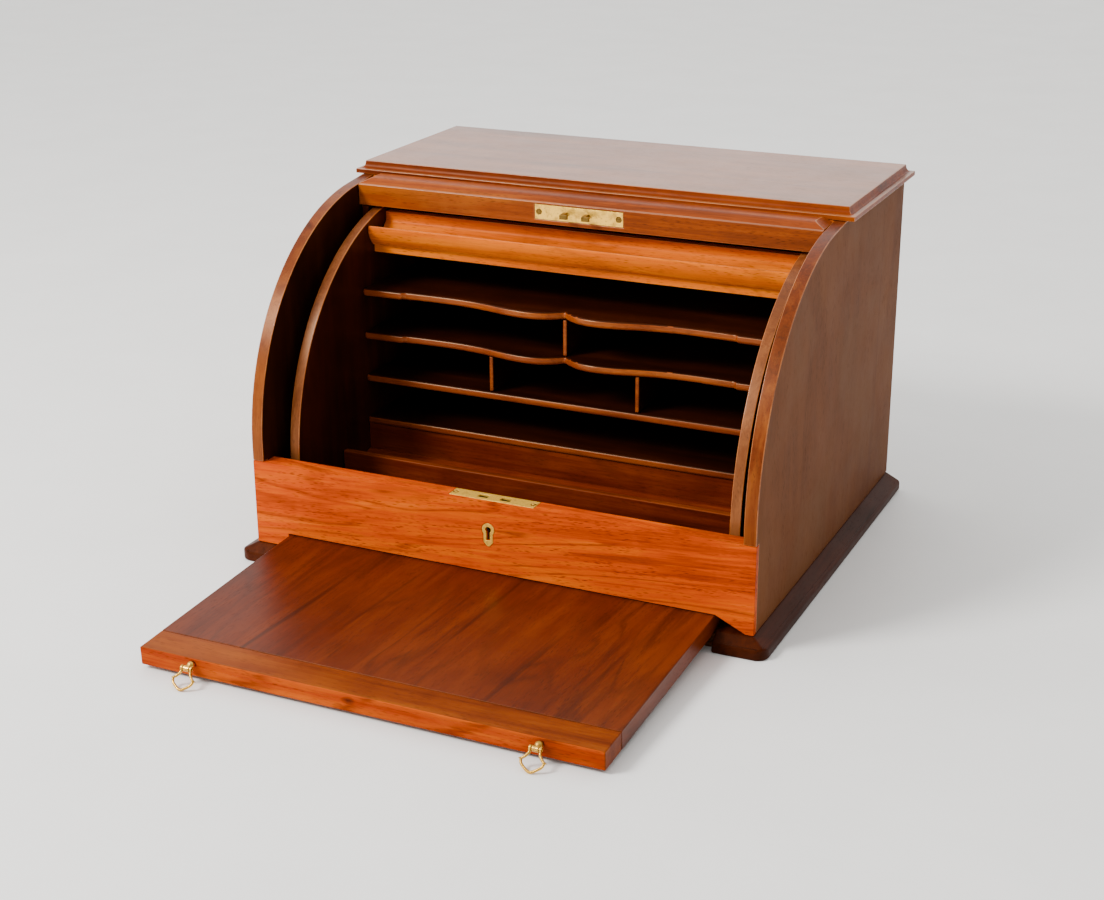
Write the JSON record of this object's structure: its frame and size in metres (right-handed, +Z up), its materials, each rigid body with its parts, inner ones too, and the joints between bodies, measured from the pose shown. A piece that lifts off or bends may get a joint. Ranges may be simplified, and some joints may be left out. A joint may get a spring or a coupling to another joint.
{
  "type": "roll top desk",
  "caption": "Table-top roll-top desk, open: a cylinder fall turned back under the top, a fitted interior of shelves and pigeonholes, and a sloping writing slide drawn out on two bail pulls.",
  "frame": {"origin": "centre of the carcass on the underside of the base", "axes": "+Z up, the writing slide is drawn out towards -Y, +X to the right of someone sitting at the desk"},
  "size_m": [0.428, 0.5583, 0.2761],
  "materials": {
    "front_wood": "french-polished mahogany, orange brown",
    "side_wood": "french-polished mahogany, faded brown",
    "interior_wood": "satin mahogany, dark",
    "base_wood": "polished mahogany, dark",
    "brass": "worn lacquered brass",
    "steel": "dull iron"
  },
  "bodies": {
    "carcass": {"under_panel": "interior_wood", "base_left": "base_wood", "base_right": "base_wood", "base_back": "base_wood", "side_left": "side_wood", "side_right": "side_wood", "back_panel": "base_wood", "front_rail": "front_wood", "top_board": "front_wood", "top_rail": "front_wood", "liner_left": "interior_wood", "liner_right": "interior_wood", "carcass_floor": "interior_wood", "runner_left": "interior_wood", "runner_right": "interior_wood", "kicker_left": "interior_wood", "kicker_right": "interior_wood", "stop_rail": "interior_wood", "fence_rail": "interior_wood", "pen_tray": "interior_wood", "riser_board": "interior_wood", "shelf_1": "interior_wood", "shelf_2": "interior_wood", "shelf_3": "interior_wood", "shelf_4": "interior_wood", "center_divider": "interior_wood", "lower_divider_left": "interior_wood", "lower_divider_right": "interior_wood", "frieze_rail": "front_wood", "interior_top": "interior_wood", "interior_back": "interior_wood", "lock_selvedge": "brass", "selvedge_screw_left": "brass", "selvedge_screw_right": "brass", "lock_case": "steel", "escutcheon": "brass", "pivot_pin_left": "steel", "pivot_pin_right": "steel"},
    "roll": {"leading_rail": "front_wood", "roll_shell": "front_wood", "arm_left": "interior_wood", "arm_right": "interior_wood", "strike_plate": "brass", "strike_screw_left": "brass", "strike_screw_right": "brass"},
    "slide": {"slide_panel": "front_wood", "slide_lipping": "front_wood", "slide_stop_left": "interior_wood", "slide_stop_right": "interior_wood", "pull_stud_left": "brass", "pull_stud_right": "brass"},
    "bail_left": {"pull_bail_left": "brass"},
    "bail_right": {"pull_bail_right": "brass"},
    "bolt": {"lock_bolt": "brass"}
  },
  "joints": [
    {"name": "roll_hinge", "type": "hinge", "parent": "carcass", "child": "roll", "pos_m": [0, 0.002, 0.0915], "axis": [1, 0, 0], "range_deg": [0, 87.7]},
    {"name": "slide_travel", "type": "slide", "parent": "carcass", "child": "slide", "axis": [0, 0.9992, 0.0401], "range_m": [0, 0.181]},
    {"name": "bail_hinge_left", "type": "hinge", "parent": "slide", "child": "bail_left", "pos_m": [-0.1295, -0.36838, 0.01211], "axis": [1, 0, 0], "range_deg": [-85, 38]},
    {"name": "bail_hinge_right", "type": "hinge", "parent": "slide", "child": "bail_right", "pos_m": [0.1295, -0.36838, 0.01211], "axis": [1, 0, 0], "range_deg": [-85, 38]},
    {"name": "bolt_travel", "type": "slide", "parent": "carcass", "child": "bolt", "axis": [-1, 0, 0], "range_m": [0, 0.0034]}
  ]
}
